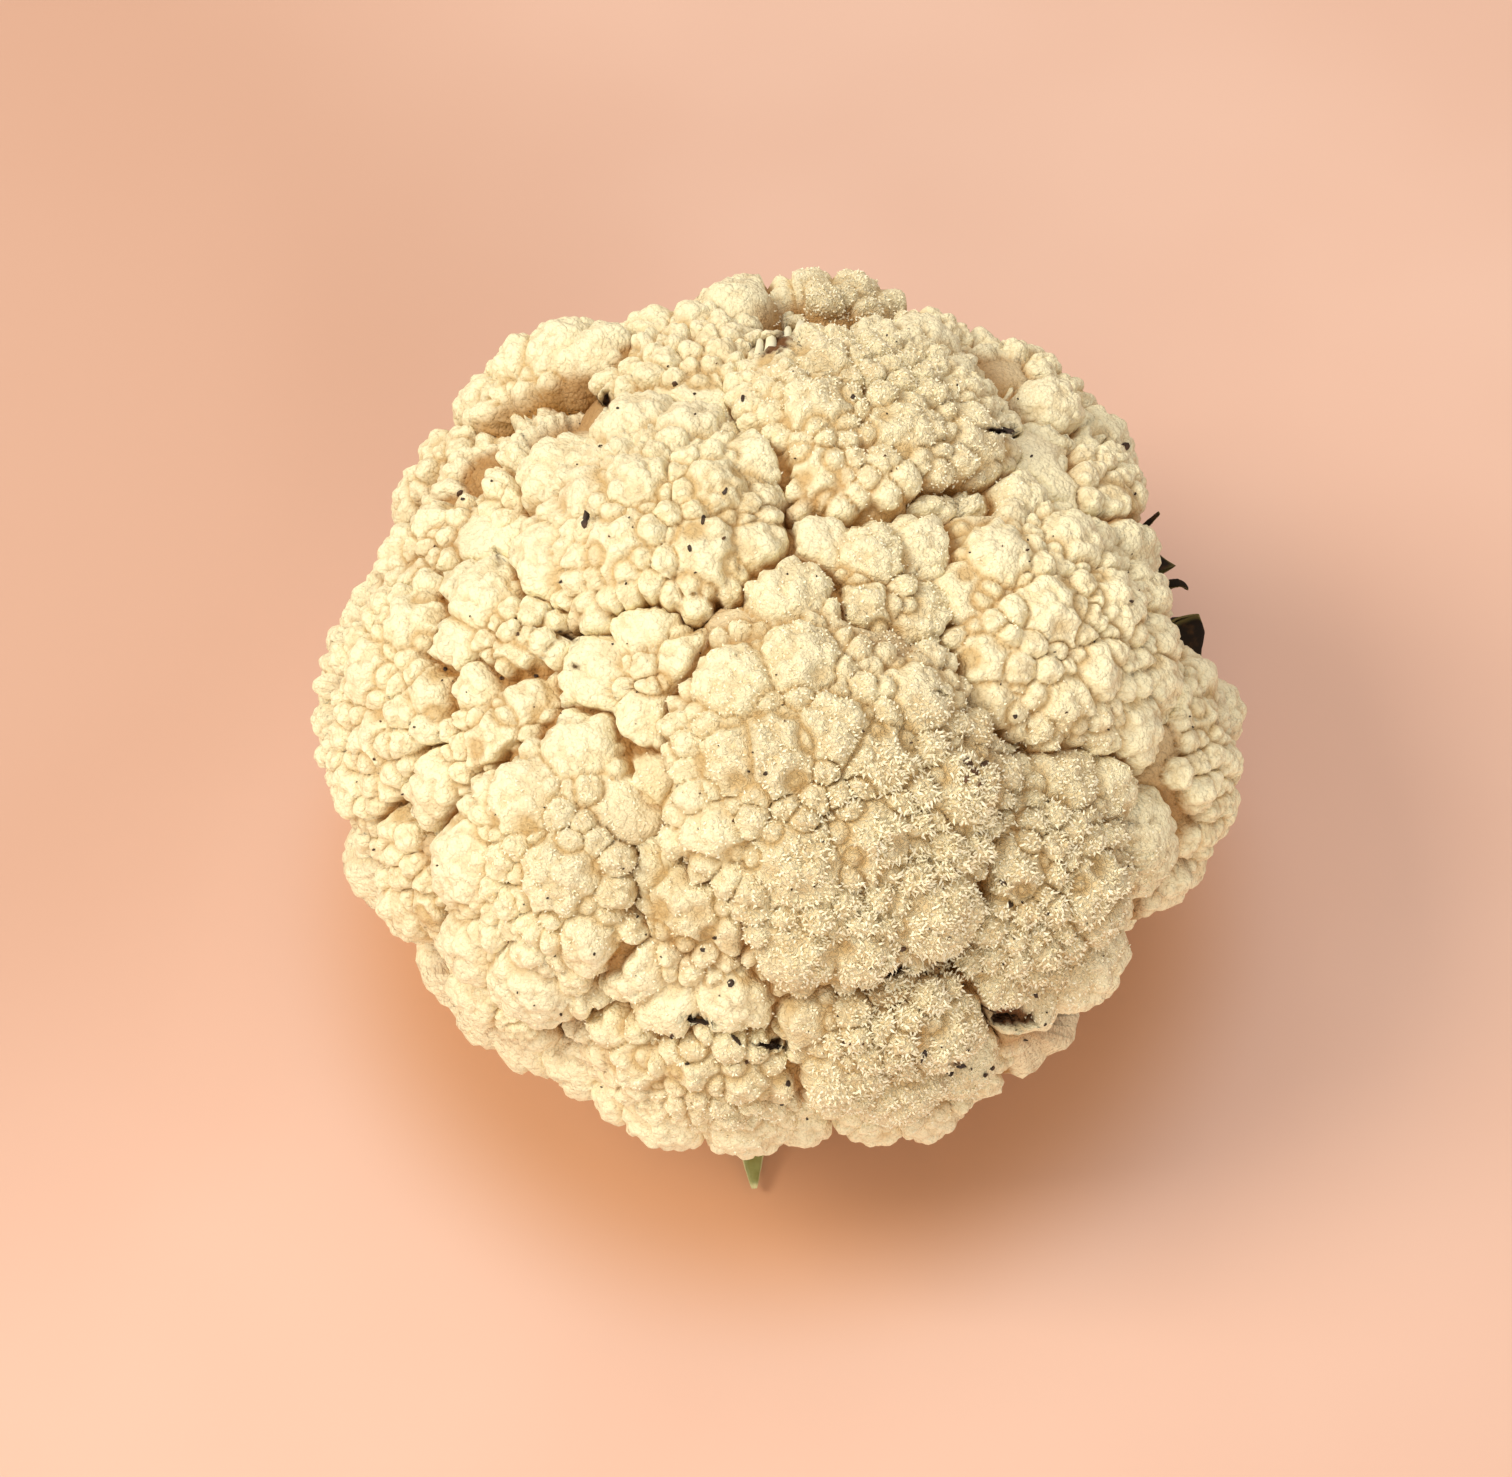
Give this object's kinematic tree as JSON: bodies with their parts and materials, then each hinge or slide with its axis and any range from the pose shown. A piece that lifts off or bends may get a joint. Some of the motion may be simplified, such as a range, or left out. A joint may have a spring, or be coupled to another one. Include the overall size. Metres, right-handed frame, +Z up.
{
  "type": "cauliflower",
  "caption": "Trimmed head of cauliflower: a domed cream curd of packed, bumpy florets on a short forked stem, with cut and torn remains of its leaves. Food and kitchen prop.",
  "frame": {"origin": "middle of the stem's flat cut face, which the head stands on", "axes": "+Z up through the head, -Y towards the side that faces the viewer, +X to the viewer's right"},
  "size_m": [0.1697, 0.1669, 0.1248],
  "materials": {
    "curd": "matt, granular, slightly translucent cream curd",
    "stem": "satin pale green flesh, paler at the cut",
    "leaf_green": "satin olive green leaf base with a pale edge",
    "leaf_dark": "matt, dark and withered leaf"
  },
  "bodies": {
    "root": {"curd": "curd", "stem": "stem", "leaf_base_front": "leaf_green", "leaf_base_right": "leaf_dark", "leaf_torn_right": "leaf_dark"}
  },
  "joints": []
}
